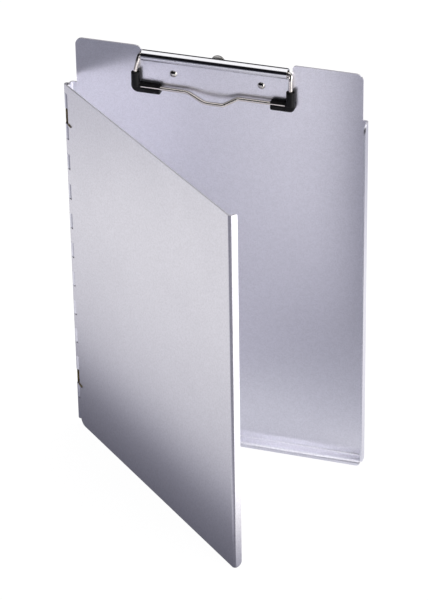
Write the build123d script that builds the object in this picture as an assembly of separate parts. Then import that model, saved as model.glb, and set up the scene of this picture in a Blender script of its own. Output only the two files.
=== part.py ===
from build123d import *
import os
from math import cos, radians, sin

# A covered form holder: a bent sheet board with a full-height knuckle hinge down its left
# side, a cover that swings on it, and a spring wire clip in a notch of its top edge.
# Millimetres. +Z up, +X to the right seen from the front, +Y into the back of the board.
# The origin is the middle of the foot under the ledge, in the plane of the hinge pin.

# sheet
sheet_t = 1.27
bend_r = 1.0
running_gap = 0.3

# board
board_w = 227.0
board_h = 331.2
tab_h = 36.7
tray_depth = 8.85
ledge_h = 3.9
tab_step_left = 5.2
tab_step_right = 4.3
tab_corner_r = 5.5
tab_overlap = 10.0
flange_corner_r = 7.5
flange_foot_z = 3.0
flange_foot_r = 3.0
ledge_gap_left = 4.6
ledge_relief = 0.6
ledge_corner_r = 3.0

# notch in the top edge for the clip
notch_depth = 11.7
notch_w = 113.6
notch_corner_left_r = 6.0
notch_corner_right_r = 3.0
notch_floor_r = 1.5

# hinge
pin_r = 1.0
pin_clearance = 0.05
pin_setback = 0.6
knuckle_pitch = 12.7
knuckle_gap = 0.3
knuckle_side_gap = 1.2
top_knuckle_len = 7.1
roll_seam = 0.35

# cover
cover_rise = 2.2
cover_angle = 41.07
cover_side_gap = 1.85
cover_flange = 6.6
cover_corner_r = 6.0
cover_flange_foot_r = 4.5
cover_flange_top_r = 1.5

# hinge springs
hinge_wire_r = 0.42
coil_clearance = 0.2
coil_end_gap = 0.6
leg_gap = 0.05
leg_inset = 0.1
cover_leg_len = 7.6
cover_leg_drop = 1.0
board_leg_len = 6.5

# clip bracket
barrel_r = 4.1
barrel_wall = 1.0
barrel_len = 110.2
barrel_shift = -1.1
barrel_drop = 6.0
curl_end = 290.0
leaf_len = 24.2
leaf_corner_r = 4.0

# rivets
rivet_spacing = 66.6
rivet_drop = 13.4
rivet_shank_r = 1.6
rivet_clearance = 0.05
rivet_head_r = 2.8
rivet_head_h = 1.5
rivet_tail_r = 2.5
rivet_tail_h = 0.8

# wire bail
wire_r = 1.5
wire_drop = 24.9
wire_corner_r = 4.0
arm_gap = 2.2
left_arm_lean = 2.9
arm_turn_r = 2.1
arm_knee_drop = 5.0
arm_knee_r = 5.0
lean_end_rise = 1.5
lean_end_r = 5.0
journal_len = 24.0
dip_depth = 5.0
dip_forward = 3.85
dip_left = (-21.8, -7.6)
dip_right = (6.3, 16.5)
dip_left_r = 14.0
dip_right_r = 2.5

# grips
sleeve_t = 1.75
sleeve_len = 11.2
left_grip_leg = 19.0
right_grip_leg = 15.2
grip_fit = 0.02
grip_slot_h = 1.9
grip_skin = 0.5
pad_rise = 2.3
pad_drop = 4.7
left_pad_corner_r = 5.4
right_pad_corner_r = 3.5
pad_end_r = 1.2
pad_front_r = 1.1

# bail springs
bail_spring_len = 20.0
bail_spring_inset = 1.0
bail_spring_gap = 0.1
bail_tail_angle = 302.0
bail_tail_r = 0.55
bail_tail_reach = 0.4
bail_tail_inset = 0.15

# hanging slide
slide_t = 1.0
slide_w = 11.0
slide_drop = 1.3
slide_len = 27.4
slide_gap = 0.2
slide_travel = 12.0
slide_stop_gap = 0.3
shoulder_w = 1.6
shoulder_h = 4.0
hang_hole_r = 2.6
strap_h = 2.8
strap_t = 0.8
strap_side = 2.2

# places that follow from the sizes above
half_w = board_w / 2
flange_h = board_h - tab_h
cover_h = flange_h + cover_rise
notch_floor = board_h - notch_depth
barrel_z = board_h - barrel_drop
leaf_foot_z = barrel_z - leaf_len
rivet_z = barrel_z - rivet_drop
wire_z = barrel_z - wire_drop
slide_top = board_h - slide_drop
slide_foot_z = slide_top - slide_len
knuckle_bore = pin_r + pin_clearance
knuckle_r = knuckle_bore + sheet_t
knuckle_clear = knuckle_r + knuckle_side_gap
pin_x = -half_w + sheet_t / 2
lip_front = -sheet_t / 2
lip_back = lip_front + sheet_t
face_y = lip_front + tray_depth
back_y = face_y + sheet_t
first_joint_z = cover_h - top_knuckle_len
joint_count = 2 * int((first_joint_z - flange_foot_z) / (2 * knuckle_pitch))
last_joint_z = first_joint_z - joint_count * knuckle_pitch
spring_bays = (1, joint_count - 3)
cover_w = board_w - sheet_t / 2 + cover_side_gap + sheet_t
leaf_back = back_y + barrel_wall
barrel_y = leaf_back - barrel_r
barrel_bore = barrel_r - barrel_wall
barrel_left = barrel_shift - barrel_len / 2
barrel_right = barrel_shift + barrel_len / 2
notch_half = notch_w / 2
sleeve_r = wire_r + sleeve_t
wire_y = face_y - sleeve_r
left_arm_top_x = barrel_left - arm_gap
left_arm_x = left_arm_top_x - left_arm_lean
right_arm_x = barrel_right + arm_gap
coil_r = pin_r + coil_clearance + hinge_wire_r
slide_front = leaf_back + slide_gap
slide_back = slide_front + slide_t
strap_foot_z = slide_foot_z + shoulder_h + slide_travel + slide_stop_gap
head_r = slide_w / 2


def box(x0, x1, y0, y1, z0, z1):
    return Pos((x0 + x1) / 2, (y0 + y1) / 2, (z0 + z1) / 2) * Box(x1 - x0, y1 - y0, z1 - z0)


def post(x, y, r, z0, z1):
    return Pos(x, y, (z0 + z1) / 2) * Cylinder(r, z1 - z0)


def rod_x(x0, x1, y, z, r):
    return Pos((x0 + x1) / 2, y, z) * Rot(0, 90, 0) * Cylinder(r, x1 - x0)


def rod_y(x, y0, y1, z, r):
    return Pos(x, (y0 + y1) / 2, z) * Rot(90, 0, 0) * Cylinder(r, y1 - y0)


def wire(points, radii, r):
    """Round wire along straight runs joined by tangent arcs."""
    path = FilletPolyline(*points, radius=radii) if radii else Line(*points)
    start = Plane(origin=path @ 0, z_dir=path % 0)
    return sweep(start * Circle(r), path=path)


def bent_strip(side_a, side_b, radii_a, radii_b):
    """Section of a bent sheet between its two faces."""
    edges = list(FilletPolyline(*side_a, radius=radii_a).edges())
    edges += FilletPolyline(*side_b, radius=radii_b).edges()
    edges += [Line(side_a[0], side_b[0]).edge(), Line(side_a[-1], side_b[-1]).edge()]
    return make_face(edges)


def edges_at(part, direction, **place):
    """Edges along one axis whose middle has the given coordinates."""
    found = part.edges().filter_by(direction)
    for name, value in place.items():
        found = [e for e in found if abs(getattr(e.center(), name) - value) < 0.02]
    return found


def joint_z(k):
    return first_joint_z - k * knuckle_pitch


def bays(owner):
    """Spans of height along the pin that belong to the board, the cover or a spring."""
    spans = [(first_joint_z, cover_h)] if owner == "cover" else []
    for k in range(joint_count):
        kind = "spring" if k in spring_bays else ("cover" if k % 2 else "board")
        if kind == owner:
            spans.append((joint_z(k + 1), joint_z(k)))
    if owner == "board":
        spans.append((flange_foot_z, last_joint_z))
    return spans


def knuckles(owner):
    """Rolled knuckles of one leaf, still solid where the pin goes."""
    return [
        post(pin_x, 0, knuckle_r, low + knuckle_gap / 2, high - knuckle_gap / 2)
        for low, high in bays(owner)
    ]


def clearances(owner, reach_x, reach_y):
    """Blocks that take a leaf's sheet away where the other leaf or a spring turns."""
    others = {"board": ("cover", "spring"), "cover": ("board", "spring")}[owner]
    low_end = {"board": flange_foot_z, "cover": 0}[owner]
    blocks = []
    for other in others:
        for low, high in bays(other):
            low = low_end - 1 if low == flange_foot_z else low - knuckle_gap / 2
            high = high + (knuckle_gap / 2 if high < cover_h else 1)
            blocks.append(
                box(pin_x - reach_x[0], pin_x + reach_x[1], -reach_y[0], reach_y[1], low, high)
            )
    return blocks


def board_panel():
    channel = bent_strip(
        [(-half_w, 0), (-half_w, back_y), (half_w, back_y), (half_w, lip_front)],
        [
            (-half_w + sheet_t, 0),
            (-half_w + sheet_t, face_y),
            (half_w - sheet_t, face_y),
            (half_w - sheet_t, lip_front),
        ],
        bend_r + sheet_t,
        bend_r,
    )
    panel = Pos(0, 0, flange_foot_z) * extrude(channel, flange_h - flange_foot_z)
    panel = fillet(edges_at(panel, Axis.X, Y=lip_front, Z=flange_h), flange_corner_r)
    panel = fillet(edges_at(panel, Axis.X, Y=lip_front, Z=flange_foot_z), flange_foot_r)

    ledge_left = -half_w + ledge_gap_left
    ledge_right = half_w - sheet_t - running_gap
    bend_top = ledge_h + bend_r
    panel -= box(
        ledge_left - ledge_relief, ledge_right + ledge_relief, face_y - 1, back_y + 1, 0, bend_top
    )
    strip_top = bend_top + tab_overlap
    ledge = bent_strip(
        [(back_y, strip_top), (back_y, ledge_h - sheet_t), (lip_back, ledge_h - sheet_t), (lip_back, 0)],
        [(face_y, strip_top), (face_y, ledge_h), (lip_front, ledge_h), (lip_front, 0)],
        [bend_r + sheet_t, bend_r],
        [bend_r, bend_r + sheet_t],
    )
    outline = box(ledge_left, ledge_right, lip_front - 1, back_y + 1, 0, strip_top + 1)
    outline = fillet(edges_at(outline, Axis.Y, Z=0), ledge_corner_r)
    panel += outline & Pos(ledge_left, 0, 0) * extrude(Plane.YZ * ledge, ledge_right - ledge_left)

    tab_left = -half_w + tab_step_left
    tab_right = half_w - tab_step_right
    tabs = box(tab_left, tab_right, face_y, back_y, flange_h - tab_overlap, board_h)
    tabs = fillet(edges_at(tabs, Axis.Y, Z=board_h), tab_corner_r)
    tabs -= box(-notch_half, notch_half, face_y - 1, back_y + 1, notch_floor, board_h + 1)
    tabs = fillet(edges_at(tabs, Axis.Y, X=-notch_half, Z=board_h), notch_corner_left_r)
    tabs = fillet(edges_at(tabs, Axis.Y, X=notch_half, Z=board_h), notch_corner_right_r)
    tabs = fillet(edges_at(tabs, Axis.Y, Z=notch_floor), notch_floor_r)
    panel += tabs

    for side in (-1, 1):
        x = side * rivet_spacing / 2
        panel -= rod_y(x, face_y - 1, back_y + 1, rivet_z, rivet_shank_r + rivet_clearance)

    panel -= clearances("board", (sheet_t, sheet_t), (1, knuckle_clear))
    panel += knuckles("board")
    panel -= post(pin_x, 0, knuckle_bore, 0, cover_h)
    seam_x = pin_x + sheet_t / 2
    panel -= [
        box(seam_x, seam_x + roll_seam, pin_r / 2, knuckle_clear, low, high)
        for low, high in bays("board")
    ]
    return panel


def cover_panel():
    outer_y = -knuckle_r
    inner_y = outer_y + sheet_t
    flange_y = outer_y + cover_flange
    far_x = pin_x + cover_w
    section = bent_strip(
        [(pin_x, outer_y), (far_x, outer_y), (far_x, flange_y)],
        [(pin_x, inner_y), (far_x - sheet_t, inner_y), (far_x - sheet_t, flange_y)],
        bend_r + sheet_t,
        bend_r,
    )
    panel = extrude(section, cover_h)
    panel = fillet(edges_at(panel, Axis.X, Y=flange_y, Z=0), cover_flange_foot_r)
    panel = fillet(edges_at(panel, Axis.X, Y=flange_y, Z=cover_h), cover_flange_top_r)
    panel -= clearances("cover", (1, knuckle_clear), (knuckle_clear, 1))
    corner = edges_at(panel, Axis.Y, X=pin_x + knuckle_clear, Z=0)
    panel = fillet(corner, cover_corner_r)
    panel += knuckles("cover")
    panel -= post(pin_x, 0, knuckle_bore, -1, cover_h + 1)
    panel -= [
        box(pin_x + pin_r / 2, pin_x + knuckle_clear, inner_y, inner_y + roll_seam, low, high)
        for low, high in bays("cover")
    ]
    return opened(panel)


def opened(closed):
    """Turn a piece of the closed cover to the angle at which the holder stands open."""
    return Pos(pin_x, 0, 0) * Rot(0, 0, -cover_angle) * Pos(-pin_x, 0, 0) * closed


def hinge_pin():
    pin = post(pin_x, 0, pin_r, flange_foot_z + pin_setback, cover_h - pin_setback)
    return chamfer(pin.edges().filter_by(GeomType.CIRCLE), pin_r / 4)


def hinge_spring(bay):
    """Coil round the pin, with one leg on the cover's face and one on the board's flange."""
    low = joint_z(bay + 1) + coil_end_gap
    high = joint_z(bay) - coil_end_gap
    outer = coil_r + hinge_wire_r
    coil = post(pin_x, 0, outer, low, high) - post(pin_x, 0, coil_r - hinge_wire_r, low, high)
    leg_y = -(knuckle_r + hinge_wire_r + leg_gap)
    leg_z = low + hinge_wire_r + leg_inset
    cover_leg = wire(
        [
            (pin_x, -coil_r - leg_inset, leg_z),
            (pin_x + knuckle_r, leg_y, leg_z),
            (pin_x + cover_leg_len, leg_y, leg_z - cover_leg_drop),
        ],
        [hinge_wire_r * 2],
        hinge_wire_r,
    )
    leg_x = pin_x - sheet_t / 2 - hinge_wire_r - leg_gap
    turn = (coil_r**2 - (leg_x - pin_x) ** 2) ** 0.5
    top_z = high - hinge_wire_r - leg_inset
    board_leg = rod_y(leg_x, turn, board_leg_len, top_z, hinge_wire_r)
    return coil + opened(cover_leg) + board_leg


def clip_bracket():
    """Leaf behind the board, curled forward through the notch into a barrel for the wire."""
    leaf = box(barrel_left, barrel_right, back_y, leaf_back, leaf_foot_z, barrel_z)
    leaf = fillet(edges_at(leaf, Axis.Y, Z=leaf_foot_z), leaf_corner_r)
    barrel = rod_x(barrel_left, barrel_right, barrel_y, barrel_z, barrel_r)
    barrel -= rod_x(barrel_left, barrel_right, barrel_y, barrel_z, barrel_bore)
    reach = 2 * barrel_r
    cut_y = reach * cos(radians(curl_end))
    cut_z = reach * sin(radians(curl_end))
    gap = make_face(Polyline((0, 0), (cut_y, cut_z), (reach, cut_z), (reach, 0), close=True).edges())
    end = Plane((barrel_left, barrel_y, barrel_z), x_dir=(0, 1, 0), z_dir=(1, 0, 0))
    gap = extrude(end * gap, barrel_len)
    bracket = leaf + (barrel - gap)
    for side in (-1, 1):
        x = side * rivet_spacing / 2
        bracket -= rod_y(x, back_y - 1, leaf_back + 1, rivet_z, rivet_shank_r + rivet_clearance)
    way = slide_w / 2 + slide_gap
    strap_back = slide_back + slide_gap + strap_t
    strap = box(
        -way - strap_side, way + strap_side, leaf_back, strap_back, strap_foot_z, strap_foot_z + strap_h
    )
    strap = fillet(edges_at(strap, Axis.Z, Y=strap_back), strap_t)
    strap -= box(-way, way, leaf_back, slide_back + slide_gap, strap_foot_z, strap_foot_z + strap_h)
    return bracket + strap


def rivet(side):
    x = side * rivet_spacing / 2
    dome_r = (rivet_head_r**2 + rivet_head_h**2) / (2 * rivet_head_h)
    dome = Pos(x, face_y - rivet_head_h + dome_r, rivet_z) * Sphere(dome_r)
    dome &= rod_y(x, face_y - rivet_head_h - 1, face_y, rivet_z, rivet_head_r)
    shank = rod_y(x, face_y, leaf_back, rivet_z, rivet_shank_r)
    tail = rod_y(x, leaf_back, leaf_back + rivet_tail_h, rivet_z, rivet_tail_r)
    rim = tail.edges().filter_by(GeomType.CIRCLE).sort_by(Axis.Y)[-1]
    return dome + shank + chamfer(rim, rivet_tail_h / 2)


def wire_bail():
    """One wire: journals in the barrel, arms, and a straight run with a finger dip.

    The left arm leans outwards on its way down to its grip.
    """
    knee_z = barrel_z - arm_knee_drop
    lean_end_z = wire_z + sleeve_len + lean_end_rise
    lean = left_arm_lean / (barrel_z - lean_end_z)
    dip_z = wire_z - dip_depth
    dip_y = wire_y - dip_forward
    points = [
        (barrel_left + journal_len, barrel_y, barrel_z),
        (left_arm_top_x, barrel_y, barrel_z),
        (left_arm_top_x - arm_knee_drop * lean, wire_y, knee_z),
        (left_arm_x, wire_y, lean_end_z),
        (left_arm_x, wire_y, wire_z),
        (dip_left[0], wire_y, wire_z),
        (dip_left[1], dip_y, dip_z),
        (dip_right[0], dip_y, dip_z),
        (dip_right[1], wire_y, wire_z),
        (right_arm_x, wire_y, wire_z),
        (right_arm_x, wire_y, knee_z),
        (right_arm_x, barrel_y, barrel_z),
        (barrel_right - journal_len, barrel_y, barrel_z),
    ]
    left_arm = [arm_turn_r, arm_knee_r, lean_end_r, wire_corner_r]
    right_arm = [wire_corner_r, arm_knee_r, arm_turn_r]
    radii = left_arm + [dip_left_r] * 2 + [dip_right_r] * 2 + right_arm
    return wire(points, radii, wire_r)


def grip(side):
    """Moulded corner sleeve on the wire, with a block that rests on the board."""
    arm_x = left_arm_x if side < 0 else right_arm_x
    inner_x = arm_x - side * (left_grip_leg if side < 0 else right_grip_leg)
    outer_x = arm_x + side * sleeve_r
    sleeve = wire([(arm_x, wire_y, wire_z + sleeve_len), (arm_x, wire_y, wire_z)], None, sleeve_r)
    block = box(
        min(inner_x, outer_x),
        max(inner_x, outer_x),
        wire_y - wire_r - grip_skin,
        face_y - running_gap,
        wire_z - pad_drop,
        wire_z + pad_rise,
    )
    corner_r = left_pad_corner_r if side < 0 else right_pad_corner_r
    block = fillet(edges_at(block, Axis.Y, X=outer_x, Z=wire_z - pad_drop), corner_r)
    block = fillet(edges_at(block, Axis.Y, X=inner_x), pad_end_r)
    block = fillet(block.faces().sort_by(Axis.Y)[0].edges(), pad_front_r)
    body = sleeve & box(
        arm_x - sleeve_r, arm_x + sleeve_r, wire_y - sleeve_r, face_y - running_gap, wire_z, barrel_z
    )
    hole = [
        (arm_x, wire_y, wire_z + sleeve_len + 1),
        (arm_x, wire_y, wire_z),
        (inner_x - side, wire_y, wire_z),
    ]
    body = body + block - wire(hole, [wire_corner_r], wire_r + grip_fit)
    slot_x = sorted((inner_x - side, arm_x - side * wire_corner_r))
    slot_z = (wire_z - grip_slot_h / 2, wire_z + grip_slot_h / 2)
    return body - box(*slot_x, wire_y - 2 * sleeve_r, wire_y, *slot_z)


def bail_spring(side):
    """Coil that fills the barrel round a journal; its tail catches the edge of the curl."""
    outer_x = (barrel_left if side < 0 else barrel_right) - side * bail_spring_inset
    inner_x = outer_x - side * bail_spring_len
    outer = barrel_bore - bail_spring_gap
    inner = wire_r + bail_spring_gap
    ends = sorted((inner_x, outer_x))
    coil = rod_x(*ends, barrel_y, barrel_z, outer) - rod_x(*ends, barrel_y, barrel_z, inner)
    mid = (inner + outer) / 2
    reach = barrel_r + bail_tail_reach
    c, s = cos(radians(bail_tail_angle)), sin(radians(bail_tail_angle))
    tail_x = inner_x + side * (bail_tail_r + bail_tail_inset)
    tail = wire(
        [
            (tail_x, barrel_y + mid * c, barrel_z + mid * s),
            (tail_x, barrel_y + reach * c, barrel_z + reach * s),
        ],
        None,
        bail_tail_r,
    )
    return coil + tail


def hanging_slide():
    """Plate with a hole for a nail, pulled up out of the strap behind the leaf."""
    head_z = slide_top - head_r
    plate = box(-head_r, head_r, slide_front, slide_back, slide_foot_z, head_z)
    plate += rod_y(0, slide_front, slide_back, head_z, head_r)
    foot = head_r + shoulder_w
    plate += box(-foot, foot, slide_front, slide_back, slide_foot_z, slide_foot_z + shoulder_h)
    plate = fillet(edges_at(plate, Axis.Y, Z=slide_foot_z), shoulder_w)
    return plate - rod_y(0, slide_front - 1, slide_back + 1, head_z, hang_hole_r)


nodes = {
    "board_panel": board_panel(),
    "cover_panel": cover_panel(),
    "hinge_pin": hinge_pin(),
    "upper_hinge_spring": hinge_spring(spring_bays[0]),
    "lower_hinge_spring": hinge_spring(spring_bays[1]),
    "clip_bracket": clip_bracket(),
    "left_rivet": rivet(-1),
    "right_rivet": rivet(1),
    "wire_bail": wire_bail(),
    "left_grip": grip(-1),
    "right_grip": grip(1),
    "left_bail_spring": bail_spring(-1),
    "right_bail_spring": bail_spring(1),
    "hanging_slide": hanging_slide(),
}

os.makedirs("parts", exist_ok=True)
for name, shape in nodes.items():
    export_step(shape, f"parts/{name}.step")
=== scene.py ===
import math

import bmesh
import bpy
from mathutils import Matrix, Vector


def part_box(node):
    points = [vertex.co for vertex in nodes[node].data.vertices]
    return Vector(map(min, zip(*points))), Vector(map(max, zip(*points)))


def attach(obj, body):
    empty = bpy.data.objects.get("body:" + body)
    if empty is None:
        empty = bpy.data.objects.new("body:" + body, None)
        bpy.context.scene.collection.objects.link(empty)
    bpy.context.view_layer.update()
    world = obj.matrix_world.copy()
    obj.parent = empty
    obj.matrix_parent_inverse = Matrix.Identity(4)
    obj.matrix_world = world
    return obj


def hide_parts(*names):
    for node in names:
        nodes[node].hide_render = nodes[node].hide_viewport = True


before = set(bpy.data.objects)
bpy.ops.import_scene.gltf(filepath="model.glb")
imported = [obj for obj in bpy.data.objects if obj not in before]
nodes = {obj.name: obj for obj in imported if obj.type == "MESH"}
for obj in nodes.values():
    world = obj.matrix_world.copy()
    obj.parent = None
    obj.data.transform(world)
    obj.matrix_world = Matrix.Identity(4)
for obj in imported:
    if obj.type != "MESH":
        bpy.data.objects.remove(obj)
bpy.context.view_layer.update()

mm = 0.001
scene = bpy.context.scene
print("frame loaded:", len(nodes), "pieces")


def addNode(tree, kind, **settings):
    made = tree.nodes.new(kind)
    for name, value in settings.items():
        setattr(made, name, value)
    return made


def feed(tree, socket, value):
    # a socket takes either another node's output or a plain value
    if hasattr(value, "links"):
        tree.links.new(value, socket)
    else:
        socket.default_value = value


def newGroup(name, inputs, outputs):
    # a shader group with named sockets; inputs are (name, kind, value)
    tree = bpy.data.node_groups.new(name, "ShaderNodeTree")
    for label, kind, value in inputs:
        socket = tree.interface.new_socket(label, in_out="INPUT", socket_type="NodeSocket" + kind)
        if value is not None:
            socket.default_value = value
    for label, kind in outputs:
        tree.interface.new_socket(label, in_out="OUTPUT", socket_type="NodeSocket" + kind)
    return tree, addNode(tree, "NodeGroupInput"), addNode(tree, "NodeGroupOutput")


def useGroup(tree, group, **values):
    made = addNode(tree, "ShaderNodeGroup", node_tree=group)
    for label, value in values.items():
        feed(tree, made.inputs[label.replace("_", " ")], value)
    return made


def mathNode(tree, operation, a, b):
    made = addNode(tree, "ShaderNodeMath", operation=operation)
    feed(tree, made.inputs[0], a)
    feed(tree, made.inputs[1], b)
    return made.outputs[0]


def remap(tree, value, fromLow, fromHigh, toLow, toHigh, smooth=False):
    made = addNode(tree, "ShaderNodeMapRange", interpolation_type="SMOOTHSTEP" if smooth else "LINEAR")
    ends = {"Value": value, "From Min": fromLow, "From Max": fromHigh, "To Min": toLow, "To Max": toHigh}
    for label, number in ends.items():
        feed(tree, made.inputs[label], number)
    return made.outputs["Result"]


def noise(tree, vector, scale, detail=2.0, rough=0.5):
    made = addNode(tree, "ShaderNodeTexNoise")
    for label, value in {"Vector": vector, "Scale": scale, "Detail": detail, "Roughness": rough}.items():
        feed(tree, made.inputs[label], value)
    return made.outputs["Fac"]


def stretched(tree, vector, scale):
    made = addNode(tree, "ShaderNodeVectorMath", operation="MULTIPLY")
    tree.links.new(vector, made.inputs[0])
    made.inputs[1].default_value = scale
    return made.outputs[0]


def dotProduct(tree, a, b):
    made = addNode(tree, "ShaderNodeVectorMath", operation="DOT_PRODUCT")
    feed(tree, made.inputs[0], a)
    feed(tree, made.inputs[1], b)
    return made.outputs["Value"]


def blended(tree, main, second, share):
    # two patterns added up, with the second one's share of the whole
    rest = mathNode(tree, "MULTIPLY", main, 1.0 - share)
    return mathNode(tree, "ADD", rest, mathNode(tree, "MULTIPLY", second, share))


def mixColour(tree, fac, a, b):
    made = addNode(tree, "ShaderNodeMix", data_type="RGBA", clamp_factor=True)
    tree.links.new(fac, made.inputs["Factor"])
    for place, value in ((6, a), (7, b)):
        feed(tree, made.inputs[place], value if hasattr(value, "links") else (*value, 1.0))
    return made.outputs[2]


rolledGrainLook = {
    "grainScale": 1100.0, "streakScale": 700.0, "streakLength": 0.03, "streakShare": 0.3,
    "coarseScale": 0.5, "coarseShare": 0.4, "speckle": (0.41, 0.59), "mottleScale": 28.0, "mottleShare": 0.2,
}


def buildRolledGrain(look):
    # the fine matt grain of rolled, etched sheet, with faint streaks along the rolling direction
    tree, given, out = newGroup(
        "rolledGrain",
        [("Vector", "Vector", None), ("Grain Scale", "Float", look["grainScale"]),
         ("Streak Scale", "Float", look["streakScale"])],
        [("Height", "Float"), ("Tone", "Float")],
    )
    place = given.outputs["Vector"]
    fine = noise(tree, place, given.outputs["Grain Scale"], 3.0, 0.6)
    along = stretched(tree, place, (1.0, 1.0, look["streakLength"]))
    streak = noise(tree, along, given.outputs["Streak Scale"])
    tree.links.new(blended(tree, fine, streak, look["streakShare"]), out.inputs["Height"])
    mottle = noise(tree, place, look["mottleScale"], 3.0, 0.55)
    wider = stretched(tree, place, (look["coarseScale"],) * 3)
    coarse = noise(tree, wider, given.outputs["Grain Scale"], 2.0, 0.6)
    speckle = remap(tree, blended(tree, fine, coarse, look["coarseShare"]), *look["speckle"], 0.0, 1.0)
    tree.links.new(blended(tree, speckle, mottle, look["mottleShare"]), out.inputs["Tone"])
    return tree


handlingLook = {
    "smudgeScale": 22.0, "smudge": (0.42, 0.68),
    "scuffScale": 160.0, "scuff": (0.66, 0.72), "scuffTilt": 0.5, "scuffStretch": (0.06, 1.0, 1.6),
}


def buildHandling(look):
    # smudges and faint scuffs where hands and paper rub
    tree, given, out = newGroup(
        "handling",
        [("Vector", "Vector", None), ("Smudge Scale", "Float", look["smudgeScale"]),
         ("Scuff Scale", "Float", look["scuffScale"])],
        [("Smudge", "Float"), ("Scuff", "Float")],
    )
    soft = noise(tree, given.outputs["Vector"], given.outputs["Smudge Scale"], 4.0, 0.6)
    tree.links.new(remap(tree, soft, *look["smudge"], 0.0, 1.0, True), out.inputs["Smudge"])
    tilted = addNode(tree, "ShaderNodeMapping")
    tilted.inputs["Rotation"].default_value = (0.0, look["scuffTilt"], 0.0)
    tilted.inputs["Scale"].default_value = look["scuffStretch"]
    tree.links.new(given.outputs["Vector"], tilted.inputs["Vector"])
    lines = noise(tree, tilted.outputs[0], given.outputs["Scuff Scale"], 5.0, 0.7)
    tree.links.new(remap(tree, lines, *look["scuff"], 0.0, 1.0, True), out.inputs["Scuff"])
    return tree


edgeRubLook = {"turned": (0.985, 0.86), "patchScale": 260.0, "patch": (0.3, 0.6), "leastRub": 0.35}


def buildEdgeRub(look):
    # brighter, smoother metal along sharp edges, from how far a rounded normal leaves the true one
    tree, given, out = newGroup(
        "edgeRub",
        [("Vector", "Vector", None), ("Rounded", "Vector", None), ("Plain", "Vector", None),
         ("Break Up", "Float", look["patchScale"])],
        [("Edge", "Float")],
    )
    agreement = dotProduct(tree, given.outputs["Rounded"], given.outputs["Plain"])
    turned = remap(tree, agreement, *look["turned"], 0.0, 1.0)
    patchy = noise(tree, given.outputs["Vector"], given.outputs["Break Up"], 3.0, 0.6)
    rubbed = remap(tree, patchy, *look["patch"], look["leastRub"], 1.0)
    tree.links.new(mathNode(tree, "MULTIPLY", turned, rubbed), out.inputs["Edge"])
    return tree


rolledGrain = buildRolledGrain(rolledGrainLook)
handling = buildHandling(handlingLook)
edgeRub = buildEdgeRub(edgeRubLook)


def newFinish(name):
    made = bpy.data.materials.new(name)
    made.use_nodes = True
    tree = made.node_tree
    shader = next(n for n in tree.nodes if n.type == "BSDF_PRINCIPLED")
    place = addNode(tree, "ShaderNodeTexCoord").outputs["Object"]
    return made, tree, shader, place


def bump(tree, shader, height, strength, distance):
    made = addNode(tree, "ShaderNodeBump")
    made.inputs["Strength"].default_value = strength
    made.inputs["Distance"].default_value = distance
    tree.links.new(height, made.inputs["Height"])
    tree.links.new(made.outputs[0], shader.inputs["Normal"])


def edgeMask(tree, place, radius):
    rounded = addNode(tree, "ShaderNodeBevel", samples=6)
    rounded.inputs["Radius"].default_value = radius
    plain = addNode(tree, "ShaderNodeNewGeometry")
    edge = useGroup(tree, edgeRub, Vector=place, Rounded=rounded.outputs[0], Plain=plain.outputs["Normal"])
    return edge.outputs["Edge"]


def cutMask(tree, place, facing, fromZ, fade):
    # the cut upper edges of the sheets, which stay greyer than their faces
    upward = addNode(tree, "ShaderNodeSeparateXYZ")
    tree.links.new(addNode(tree, "ShaderNodeNewGeometry").outputs["True Normal"], upward.inputs[0])
    height = addNode(tree, "ShaderNodeSeparateXYZ")
    tree.links.new(place, height.inputs[0])
    flat = remap(tree, upward.outputs["Z"], *facing, 0.0, 1.0)
    high = remap(tree, height.outputs["Z"], fromZ, fromZ + fade, 0.0, 1.0)
    return mathNode(tree, "MULTIPLY", flat, high)


sheetLook = {
    "boardColour": (0.92, 0.92, 0.99), "boardShade": (0.81, 0.81, 0.87),
    "coverColour": (0.92, 0.91, 0.955), "coverShade": (0.80, 0.79, 0.825),
    "metallic": 0.90, "roughness": 0.285, "bump": 0.035, "bumpDepth": 0.03,
    "smudge": 0.05, "smudgeShade": 0.85, "smudgeRoughness": 0.015, "scuffRoughness": 0.02,
    "edgeRadius": 0.35, "edgeRub": 0.6, "edgeColour": (0.95, 0.95, 0.97), "edgePolish": 0.10,
    "cutColour": (0.72, 0.71, 0.76), "cutRoughness": 0.30,
    "cutFacing": (0.90, 0.97), "cutFrom": 0.27, "cutFade": 0.005,  # only the edges above this height
}


def satinSheet(name, colour, shade, look):
    # matt etched aluminium sheet
    made, tree, shader, place = newFinish(name)
    grain = useGroup(tree, rolledGrain, Vector=place)
    hands = useGroup(tree, handling, Vector=place)
    base = mixColour(tree, grain.outputs["Tone"], shade, colour)
    smudged = mathNode(tree, "MULTIPLY", hands.outputs["Smudge"], look["smudge"])
    base = mixColour(tree, smudged, base, tuple(c * look["smudgeShade"] for c in shade))
    edge = edgeMask(tree, place, look["edgeRadius"] * mm)
    base = mixColour(tree, mathNode(tree, "MULTIPLY", edge, look["edgeRub"]), base, look["edgeColour"])
    cut = cutMask(tree, place, look["cutFacing"], look["cutFrom"], look["cutFade"])
    base = mixColour(tree, cut, base, look["cutColour"])
    tree.links.new(base, shader.inputs["Base Color"])
    plain = look["roughness"]
    rough = remap(tree, hands.outputs["Smudge"], 0.0, 1.0, plain, plain + look["smudgeRoughness"])
    rough = mathNode(tree, "SUBTRACT", rough, mathNode(tree, "MULTIPLY", edge, look["edgePolish"]))
    scuffed = mathNode(tree, "MULTIPLY", hands.outputs["Scuff"], look["scuffRoughness"])
    rough = mathNode(tree, "ADD", rough, scuffed)
    rough = mathNode(tree, "ADD", rough, mathNode(tree, "MULTIPLY", cut, look["cutRoughness"]))
    tree.links.new(rough, shader.inputs["Roughness"])
    shader.inputs["Metallic"].default_value = look["metallic"]
    bump(tree, shader, grain.outputs["Height"], look["bump"], look["bumpDepth"] * mm)
    return made


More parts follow.
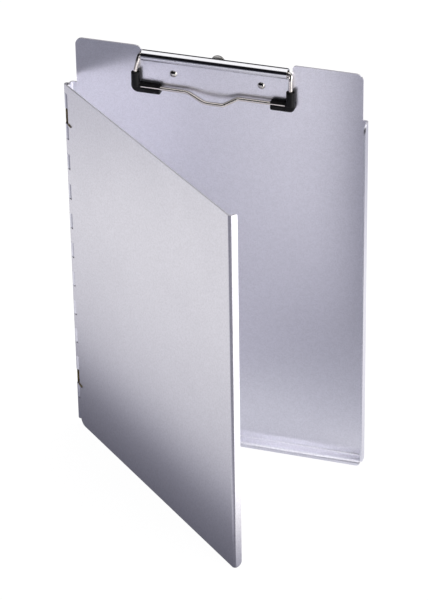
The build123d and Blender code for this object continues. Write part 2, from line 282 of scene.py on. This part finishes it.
platingLook = {
    "streakPerGrain": 0.5, "smudgeScale": 90.0, "scuffScale": 700.0, "smudge": 0.2,
    "smudgeRoughness": 0.06, "scuffRoughness": 0.12,
    "edgeRadius": 0.2, "edgeRub": 0.4, "edgeGain": 1.2, "bumpDepth": 0.02,
}
metalLook = {
    "chrome": {
        "colour": (0.86, 0.865, 0.885), "shade": (0.80, 0.805, 0.83), "roughness": 0.05, "bump": 0.02,
        "grain": 1500.0,
    },
    "rivet": {
        "colour": (0.66, 0.64, 0.60), "shade": (0.46, 0.45, 0.42), "roughness": 0.10, "bump": 0.05,
        "grain": 2200.0,
    },
    "wire": {
        "colour": (0.88, 0.84, 0.79), "shade": (0.74, 0.69, 0.64), "roughness": 0.16, "bump": 0.06,
        "grain": 2400.0,
    },
    "steel": {
        "colour": (0.60, 0.60, 0.62), "shade": (0.42, 0.42, 0.44), "roughness": 0.30, "bump": 0.12,
        "grain": 2400.0,
    },
    "brass": {
        "colour": (0.42, 0.33, 0.17), "shade": (0.10, 0.08, 0.04), "roughness": 0.26, "bump": 0.10,
        "grain": 3200.0,
    },
    "nickel": {
        "colour": (0.62, 0.61, 0.58), "shade": (0.42, 0.41, 0.39), "roughness": 0.24, "bump": 0.10,
        "grain": 2000.0,
    },
}


def platedMetal(name, metal, look):
    # plated or drawn metal: mottled tone, polishing lines, rubbed edges
    made, tree, shader, place = newFinish(name)
    grain = useGroup(
        tree, rolledGrain, Vector=place, Grain_Scale=metal["grain"],
        Streak_Scale=metal["grain"] * look["streakPerGrain"],
    )
    hands = useGroup(
        tree, handling, Vector=place, Smudge_Scale=look["smudgeScale"], Scuff_Scale=look["scuffScale"]
    )
    base = mixColour(tree, grain.outputs["Tone"], metal["shade"], metal["colour"])
    smudged = mathNode(tree, "MULTIPLY", hands.outputs["Smudge"], look["smudge"])
    base = mixColour(tree, smudged, base, metal["shade"])
    rubbed = mathNode(tree, "MULTIPLY", edgeMask(tree, place, look["edgeRadius"] * mm), look["edgeRub"])
    base = mixColour(tree, rubbed, base, tuple(min(1.0, c * look["edgeGain"]) for c in metal["colour"]))
    tree.links.new(base, shader.inputs["Base Color"])
    plain = metal["roughness"]
    rough = remap(tree, hands.outputs["Smudge"], 0.0, 1.0, plain, plain + look["smudgeRoughness"])
    scuffed = mathNode(tree, "MULTIPLY", hands.outputs["Scuff"], look["scuffRoughness"])
    tree.links.new(mathNode(tree, "ADD", rough, scuffed), shader.inputs["Roughness"])
    shader.inputs["Metallic"].default_value = 1.0
    bump(tree, shader, grain.outputs["Height"], metal["bump"], look["bumpDepth"] * mm)
    return made


gripLook = {
    "colour": (0.004, 0.004, 0.005), "dust": (0.022, 0.021, 0.023), "roughness": 0.38, "gloss": 0.22,
    "skinScale": 1800.0, "bump": 0.18, "bumpDepth": 0.05, "smudgeScale": 140.0, "smudgeRoughness": 0.15,
    "pits": (0.55, 0.75), "pitDust": 0.25, "smudgeDust": 0.12,
}


def mouldedRubber(name, look):
    # black moulded vinyl with a fine eggshell skin and dust in the low places
    made, tree, shader, place = newFinish(name)
    skin = noise(tree, place, look["skinScale"], 3.0, 0.6)
    hands = useGroup(tree, handling, Vector=place, Smudge_Scale=look["smudgeScale"])
    dusty = mathNode(tree, "MULTIPLY", remap(tree, skin, *look["pits"], 0.0, 1.0), look["pitDust"])
    smudged = mathNode(tree, "MULTIPLY", hands.outputs["Smudge"], look["smudgeDust"])
    dusty = mathNode(tree, "ADD", dusty, smudged)
    tree.links.new(mixColour(tree, dusty, look["colour"], look["dust"]), shader.inputs["Base Color"])
    plain = look["roughness"]
    rough = remap(tree, hands.outputs["Smudge"], 0.0, 1.0, plain, plain + look["smudgeRoughness"])
    tree.links.new(rough, shader.inputs["Roughness"])
    shader.inputs["Specular IOR Level"].default_value = look["gloss"]
    bump(tree, shader, skin, look["bump"], look["bumpDepth"] * mm)
    return made


finishes = {
    "board_sheet": satinSheet("satinBoard", sheetLook["boardColour"], sheetLook["boardShade"], sheetLook),
    "cover_sheet": satinSheet("satinCover", sheetLook["coverColour"], sheetLook["coverShade"], sheetLook),
    "clip_chrome": platedMetal("clipChrome", metalLook["chrome"], platingLook),
    "rivet_chrome": platedMetal("rivetChrome", metalLook["rivet"], platingLook),
    "bail_wire": platedMetal("bailWire", metalLook["wire"], platingLook),
    "pin_steel": platedMetal("pinSteel", metalLook["steel"], platingLook),
    "spring_brass": platedMetal("springBrass", metalLook["brass"], platingLook),
    "slide_nickel": platedMetal("slideNickel", metalLook["nickel"], platingLook),
    "grip_rubber": mouldedRubber("gripRubber", gripLook),
}
print("finishes made:", len(finishes))

nodeSlots = {
    "board_panel": "board_sheet", "cover_panel": "cover_sheet", "hinge_pin": "pin_steel",
    "clip_bracket": "clip_chrome", "left_rivet": "rivet_chrome", "right_rivet": "rivet_chrome",
    "wire_bail": "bail_wire", "hanging_slide": "slide_nickel",
    "left_grip": "grip_rubber", "right_grip": "grip_rubber",
}
for name, slotName in nodeSlots.items():
    mesh = nodes[name].data
    if not mesh.materials:
        mesh.materials.append(finishes[slotName])
    for place in range(len(mesh.materials)):
        mesh.materials[place] = finishes[slotName]


def windingTree(name, finish):
    # a round wire wound on a helix, with its ends closed
    tree = bpy.data.node_groups.new(name, "GeometryNodeTree")
    for label, kind, value in (
        ("Turns", "Float", 10.0), ("Coil Radius", "Float", 1.6 * mm), ("Length", "Float", 10 * mm),
        ("Wire Radius", "Float", 0.4 * mm), ("Points per Turn", "Int", 28), ("Wire Sides", "Int", 12),
    ):
        socket = tree.interface.new_socket(label, in_out="INPUT", socket_type="NodeSocket" + kind)
        socket.default_value = value
    tree.interface.new_socket("Geometry", in_out="OUTPUT", socket_type="NodeSocketGeometry")
    given, out = addNode(tree, "NodeGroupInput"), addNode(tree, "NodeGroupOutput")
    spiral = addNode(tree, "GeometryNodeCurveSpiral")
    section = addNode(tree, "GeometryNodeCurvePrimitiveCircle")
    sweep = addNode(tree, "GeometryNodeCurveToMesh")
    sweep.inputs["Fill Caps"].default_value = True
    smooth = addNode(tree, "GeometryNodeSetShadeSmooth")
    realise = addNode(tree, "GeometryNodeRealizeInstances")
    paint = addNode(tree, "GeometryNodeSetMaterial")
    paint.inputs["Material"].default_value = finish
    for source, target in (
        (given.outputs["Turns"], spiral.inputs["Rotations"]),
        (given.outputs["Coil Radius"], spiral.inputs["Start Radius"]),
        (given.outputs["Coil Radius"], spiral.inputs["End Radius"]),
        (given.outputs["Length"], spiral.inputs["Height"]),
        (given.outputs["Points per Turn"], spiral.inputs["Resolution"]),
        (given.outputs["Wire Radius"], section.inputs["Radius"]),
        (given.outputs["Wire Sides"], section.inputs["Resolution"]),
        (spiral.outputs["Curve"], sweep.inputs["Curve"]),
        (section.outputs["Curve"], sweep.inputs["Profile Curve"]),
        (sweep.outputs["Mesh"], smooth.inputs["Geometry"]),
        (smooth.outputs["Geometry"], realise.inputs["Geometry"]),
        (realise.outputs["Geometry"], paint.inputs["Geometry"]),
        (paint.outputs["Geometry"], out.inputs["Geometry"]),
    ):
        tree.links.new(source, target)
    return tree


def setModifierInput(modifier, label, value):
    for item in modifier.node_group.interface.items_tree:
        if item.item_type == "SOCKET" and item.in_out == "INPUT" and item.name == label:
            modifier[item.identifier] = value


def plainMesh(carrier):
    # what a live object's curve or modifiers make, as a plain mesh
    bpy.context.view_layer.update()
    return bpy.data.meshes.new_from_object(carrier.evaluated_get(bpy.context.evaluated_depsgraph_get()))


def dress(mesh, finish):
    # one finish and smooth shading all over
    mesh.materials.clear()
    mesh.materials.append(finish)
    for polygon in mesh.polygons:
        polygon.use_smooth = True
        polygon.material_index = 0


def treeMesh(tree, **values):
    carrier = bpy.data.objects.new("carrier", bpy.data.meshes.new("carrier"))
    scene.collection.objects.link(carrier)
    modifier = carrier.modifiers.new("tree", "NODES")
    modifier.node_group = tree
    for label, value in values.items():
        setModifierInput(modifier, label.replace("_", " "), value)
    made = plainMesh(carrier)
    bpy.data.objects.remove(carrier)
    return made


def wireMesh(points, radius):
    # a bent round wire through the points, both in millimetres
    curve = bpy.data.curves.new("wire", "CURVE")
    curve.dimensions, curve.bevel_depth, curve.use_fill_caps = "3D", radius * mm, True
    curve.bevel_resolution = 3
    spline = curve.splines.new("NURBS")
    spline.points.add(len(points) - 1)
    for point, (x, y, z) in zip(spline.points, points):
        point.co = (x * mm, y * mm, z * mm, 1.0)
    spline.order_u, spline.use_endpoint_u, spline.resolution_u = 3, True, 6
    carrier = bpy.data.objects.new("wire", curve)
    scene.collection.objects.link(carrier)
    made = plainMesh(carrier)
    bpy.data.objects.remove(carrier)
    return made


def joined(name, meshes, finish):
    # several meshes as one object at the origin, with its normals turned outwards
    work = bmesh.new()
    for part in meshes:
        work.from_mesh(part)
    bmesh.ops.remove_doubles(work, verts=work.verts, dist=0.0001 * mm)
    bmesh.ops.recalc_face_normals(work, faces=work.faces)
    made = bpy.data.meshes.new(name)
    work.to_mesh(made)
    work.free()
    dress(made, finish)
    thing = bpy.data.objects.new(name, made)
    scene.collection.objects.link(thing)
    return thing


hingeSpring = {
    "nodes": ("upper_hinge_spring", "lower_hinge_spring"),
    "pinX": -112.865, "coilR": 1.62, "wireR": 0.4, "turns": 11.0, "coilLength": 11.5, "clear": 0.05,
    "sheetT": 1.27, "knuckleR": 2.32, "coverAngle": 41.07,
    # the board's leg: how far out from the flange, and forward from the pin
    "boardLegStart": -0.3, "boardLeg": ((-0.15, 0.9), (0.0, 2.6), (0.0, 6.5)),
    # the cover's leg, with the cover shut: along it from the pin, inward from its face, and up
    "coverLeg": (
        (-0.2, 1.10, 0.0), (1.0, 0.85, 0.0), (2.4, 0.57, 0.0), (3.6, -0.05, 0.0), (5.0, 0.0, -0.4),
        (7.6, 0.0, -1.0),
    ),
}


def turnedAboutPin(point, pinX, degrees):
    x, y, z = point
    angle = math.radians(degrees)
    dx = x - pinX
    return pinX + dx * math.cos(angle) - y * math.sin(angle), dx * math.sin(angle) + y * math.cos(angle), z


def makeHingeSprings(size):
    finish = finishes["spring_brass"]
    tree = windingTree("hingeWinding", finish)
    wireR, coilR, pinX = size["wireR"], size["coilR"], size["pinX"]
    legX = pinX - size["sheetT"] / 2 - wireR - size["clear"]
    legY = -(size["knuckleR"] + wireR + size["clear"])
    for node in size["nodes"]:
        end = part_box(node)[1].z / mm - wireR
        start = end - size["coilLength"] + 2 * wireR
        coil = treeMesh(
            tree, Turns=size["turns"], Coil_Radius=coilR * mm, Length=(end - start) * mm,
            Wire_Radius=wireR * mm,
        )
        coil.transform(Matrix.Translation((pinX * mm, 0, start * mm)))
        boardLeg = [(pinX - coilR, size["boardLegStart"], end)]
        boardLeg += [(legX + across, forward, end) for across, forward in size["boardLeg"]]
        coilPiece = joined(node + "_coil", [coil, wireMesh(boardLeg, wireR)], finish)
        shut = [(pinX + along, legY + inward, start + up) for along, inward, up in size["coverLeg"]]
        coverLeg = [turnedAboutPin(point, pinX, -size["coverAngle"]) for point in shut]
        legPiece = joined(node + "_leg", [wireMesh(coverLeg, wireR)], finish)
        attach(coilPiece, "board")
        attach(legPiece, "cover")
        for piece in (coilPiece, legPiece):
            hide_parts(node)


makeHingeSprings(hingeSpring)

bailSpring = {
    "barrelR": 4.1, "coilR": 2.3, "wireR": 0.55, "turns": 16.0,
    "tailAngle": 302.0, "tailReach": (2.2, 3.2, 4.1, 4.5),  # distances out from the barrel's axis
}


def makeBailSprings(size):
    finish = finishes["spring_brass"]
    tree = windingTree("bailWinding", finish)
    wireR, angle = size["wireR"], math.radians(size["tailAngle"])
    clipLow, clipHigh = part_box("clip_bracket")
    barrelY, barrelZ = clipLow.y / mm + size["barrelR"], clipHigh.z / mm - size["barrelR"]
    for side, node in ((-1, "left_bail_spring"), (1, "right_bail_spring")):
        low, high = (corner.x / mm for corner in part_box(node))
        coil = treeMesh(
            tree, Turns=size["turns"], Coil_Radius=size["coilR"] * mm, Length=(high - low - 2 * wireR) * mm,
            Wire_Radius=wireR * mm,
        )
        inner = low + wireR if side > 0 else high - wireR
        place = Matrix.Translation((inner * mm, barrelY * mm, barrelZ * mm))
        coil.transform(place @ Matrix.Rotation(side * math.pi / 2, 4, "Y"))
        tail = [
            (inner, barrelY + reach * math.cos(angle), barrelZ + reach * math.sin(angle))
            for reach in size["tailReach"]
        ]
        piece = joined(node + "_coil", [coil, wireMesh(tail, wireR)], finish)
        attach(piece, "board")
        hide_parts(node)


makeBailSprings(bailSpring)
print("springs wound")

gripShape = {"weld": 0.001, "voxel": 0.24, "rounding": 0.5, "passes": 5}


def makeGrips(size):
    # the moulded corner sleeves with their edges rounded as a soft moulding has them
    for node in ("left_grip", "right_grip"):
        work = bmesh.new()
        work.from_mesh(nodes[node].data)
        bmesh.ops.remove_doubles(work, verts=work.verts, dist=size["weld"] * mm)
        mesh = bpy.data.meshes.new(node + "_moulded")
        work.to_mesh(mesh)
        work.free()
        piece = bpy.data.objects.new(node + "_moulded", mesh)
        scene.collection.objects.link(piece)
        skin = piece.modifiers.new("skin", "REMESH")
        skin.mode, skin.voxel_size = "VOXEL", size["voxel"] * mm
        soften = piece.modifiers.new("soften", "SMOOTH")
        soften.factor, soften.iterations = size["rounding"], size["passes"]
        made = plainMesh(piece)
        piece.modifiers.clear()
        piece.data = made
        dress(made, finishes["grip_rubber"])
        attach(piece, "bail")
        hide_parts(node)


makeGrips(gripShape)
print("grips moulded")

# the floor carries painted shade and painted light, seen by every ray but the camera's
floorSize = {
    "half": 6.0, "drop": 0.0002, "colour": (0.86, 0.86, 0.87), "shown": 0.85, "glow": 1.12,
    "tint": (0.77, 0.77, 1.0), "plain": (1.0, 0.99, 1.0),
    # outside the cover: its foot's start, the way out from it, and the painted shade as brightness against
    # distance
    "hinge": (-0.112865, 0.0), "across": (-0.657, -0.754), "seam": 0.002,
    "shade": (
        (0.0, 0.17), (0.032, 0.23), (0.052, 0.42), (0.074, 0.73), (0.113, 0.80), (0.162, 0.90), (0.25, 0.96),
    ),
    "left": (-0.50, -0.60), "leftShade": 0.72, "front": (-0.15, -0.33), "frontShade": 0.31,
    # inside it: from left to right, then either side of the line through its free edge
    "inside": (0.05, 0.20), "insideLevel": (0.65, 0.90),
    "freeEdge": (0.045, -0.138), "pastEdge": (0.435, -0.90),
    "behindEdge": (-0.09, 1.04, 0.60), "rightLift": (0.10, 1.20),
    "behind": (0.24, 0.50), "behindShade": 0.62,
}


def makeFloor(size):
    mesh = bpy.data.meshes.new("floor")
    half, drop = size["half"], -size["drop"]
    corners = [(-half, -half, drop), (half, -half, drop), (half, half, drop), (-half, half, drop)]
    mesh.from_pydata(corners, [], [(0, 1, 2, 3)])
    floor = bpy.data.objects.new("floor", mesh)
    scene.collection.objects.link(floor)
    made = bpy.data.materials.new("paleFloor")
    made.use_nodes = True
    tree = made.node_tree
    tree.nodes.clear()
    matt = addNode(tree, "ShaderNodeBsdfDiffuse")
    matt.inputs["Color"].default_value = (*size["colour"], 1.0)
    glow = addNode(tree, "ShaderNodeEmission")
    glow.inputs["Strength"].default_value = size["glow"]
    rays = addNode(tree, "ShaderNodeLightPath")
    seen = addNode(tree, "ShaderNodeMixShader")
    seen.inputs[0].default_value = size["shown"]
    tree.links.new(matt.outputs[0], seen.inputs[1])
    tree.links.new(glow.outputs[0], seen.inputs[2])
    # what the metal sees, painted light and shade for every ray but the camera's: a white table with painted
    # shade outside the cover, in front and far behind
    place = addNode(tree, "ShaderNodeSeparateXYZ")
    tree.links.new(addNode(tree, "ShaderNodeNewGeometry").outputs["Position"], place.inputs[0])

    def floorDistance(start, direction):
        # how far a place on the floor is from a line, along the direction across it
        runs = []
        for axis in (0, 1):
            offset = mathNode(tree, "SUBTRACT", place.outputs[axis], start[axis])
            runs.append(mathNode(tree, "MULTIPLY", offset, direction[axis]))
        return mathNode(tree, "ADD", *runs)

    across = floorDistance(size["hinge"], size["across"])
    reach = size["shade"][-1][0]
    ramp = addNode(tree, "ShaderNodeValToRGB")
    for number, (distance, level) in enumerate(size["shade"]):
        stop = ramp.color_ramp.elements[number] if number < 2 else ramp.color_ramp.elements.new(1.0)
        stop.position, stop.color = distance / reach, (level, level, level, 1.0)
    tree.links.new(mathNode(tree, "DIVIDE", across, reach), ramp.inputs["Fac"])
    front = remap(tree, place.outputs["Y"], *size["front"], 1.0, size["frontShade"], True)
    left = remap(tree, place.outputs["X"], *size["left"], 1.0, size["leftShade"], True)
    outside = mathNode(tree, "MULTIPLY", mathNode(tree, "MULTIPLY", ramp.outputs["Color"], left), front)
    past = floorDistance(size["freeEdge"], size["pastEdge"])
    farSide, farLevel, edgeLevel = size["behindEdge"]
    rightEnd, rightGain = size["rightLift"]
    beside = remap(tree, past, farSide, 0.0, farLevel, edgeLevel)
    beside = mathNode(tree, "ADD", beside, remap(tree, past, 0.0, rightEnd, 0.0, rightGain, True))
    inside = remap(tree, place.outputs["X"], *size["inside"], *size["insideLevel"], True)
    inside = mathNode(tree, "MULTIPLY", inside, beside)
    inner = remap(tree, across, -size["seam"], size["seam"], 1.0, 0.0)
    level = addNode(tree, "ShaderNodeMix")
    for socket, value in (("Factor", inner), (2, outside), (3, inside)):
        tree.links.new(value, level.inputs[socket])
    behind = remap(tree, place.outputs["Y"], *size["behind"], 1.0, size["behindShade"], True)
    brightness = mathNode(tree, "MULTIPLY", level.outputs[0], behind)
    # the painted light and shade glow from the floor, bluer where painted darker
    paintedFloorLight = addNode(tree, "ShaderNodeEmission")
    tree.links.new(mixColour(tree, brightness, size["tint"], size["plain"]), paintedFloorLight.inputs["Color"])
    tree.links.new(brightness, paintedFloorLight.inputs["Strength"])
    blend = addNode(tree, "ShaderNodeMixShader")
    out = addNode(tree, "ShaderNodeOutputMaterial")
    tree.links.new(rays.outputs["Is Camera Ray"], blend.inputs[0])
    tree.links.new(paintedFloorLight.outputs[0], blend.inputs[1])
    tree.links.new(seen.outputs[0], blend.inputs[2])
    tree.links.new(blend.outputs[0], out.inputs[0])
    mesh.materials.append(made)


makeFloor(floorSize)

skyLight = {
    "axis": (0.05, 0.12, 1.0), "from": 0.68, "to": 0.84,
    "bright": (1.0, 0.99, 1.0), "dark": (0.007, 0.007, 0.009), "strength": 1.15,
}


def makeSky(size):
    # a bright tent overhead, a little to the rear, and a dark room round it
    world = bpy.data.worlds.new("tent")
    scene.world = world
    world.use_nodes = True
    tree = world.node_tree
    tree.nodes.clear()
    place = addNode(tree, "ShaderNodeTexCoord").outputs["Generated"]
    height = dotProduct(tree, place, Vector(size["axis"]).normalized())
    fac = remap(tree, height, size["from"], size["to"], 0.0, 1.0, True)
    light = addNode(tree, "ShaderNodeBackground")
    tree.links.new(mixColour(tree, fac, size["dark"], size["bright"]), light.inputs["Color"])
    light.inputs["Strength"].default_value = size["strength"]
    plain = addNode(tree, "ShaderNodeBackground")
    plain.inputs["Color"].default_value = (1, 1, 1, 1)
    rays = addNode(tree, "ShaderNodeLightPath")
    blend = addNode(tree, "ShaderNodeMixShader")
    out = addNode(tree, "ShaderNodeOutputWorld")
    tree.links.new(rays.outputs["Is Camera Ray"], blend.inputs[0])
    tree.links.new(light.outputs[0], blend.inputs[1])
    tree.links.new(plain.outputs[0], blend.inputs[2])
    tree.links.new(blend.outputs[0], out.inputs[0])


makeSky(skyLight)

softboxes = {
    "key": {
        "at": (1.1, 0.9, 1.1), "aim": (0.0, 0.0, 0.12), "size": (1.0, 1.0), "power": 13.0,
        "colour": (1.0, 0.99, 0.97),
    },
    "side": {
        "at": (1.3, -0.5, 0.5), "aim": (0.0, -0.05, 0.12), "size": (0.9, 0.9), "power": 7.0,
        "colour": (0.97, 0.97, 1.0),
    },
}


def makeSoftboxes(boxes):
    for name, box in boxes.items():
        data = bpy.data.lights.new(name, "AREA")
        data.shape, data.size, data.size_y = "RECTANGLE", *box["size"]
        data.energy, data.color = box["power"], box["colour"]
        lamp = bpy.data.objects.new(name, data)
        lamp.location = box["at"]
        lamp.rotation_euler = (Vector(box["aim"]) - Vector(box["at"])).to_track_quat("-Z", "Y").to_euler()
        scene.collection.objects.link(lamp)


makeSoftboxes(softboxes)

cameraFacts = {
    "at": (0.6242616, -1.9382634, 1.3860620), "yaw": -17.92209, "pitch": 31.67651, "roll": 0.97989,
    "lens": 191.149, "sensor": 36.0, "near": 0.05, "far": 50.0,
}


def makeCamera(facts):
    yaw, pitch, roll = (math.radians(facts[k]) for k in ("yaw", "pitch", "roll"))
    ahead = Vector((math.sin(yaw) * math.cos(pitch), math.cos(yaw) * math.cos(pitch), -math.sin(pitch)))
    right = Vector((math.cos(yaw), -math.sin(yaw), 0.0))
    down = ahead.cross(right)
    across = math.cos(roll) * right + math.sin(roll) * down
    below = -math.sin(roll) * right + math.cos(roll) * down
    turn = Matrix((across, -below, -ahead)).transposed().to_4x4()
    data = bpy.data.cameras.new("camera")
    data.lens, data.sensor_width = facts["lens"], facts["sensor"]
    data.clip_start, data.clip_end = facts["near"], facts["far"]
    camera = bpy.data.objects.new("camera", data)
    camera.matrix_world = Matrix.Translation(facts["at"]) @ turn
    scene.collection.objects.link(camera)
    scene.camera = camera


makeCamera(cameraFacts)
scene.view_settings.view_transform = "Standard"
print("floor, light and camera set")
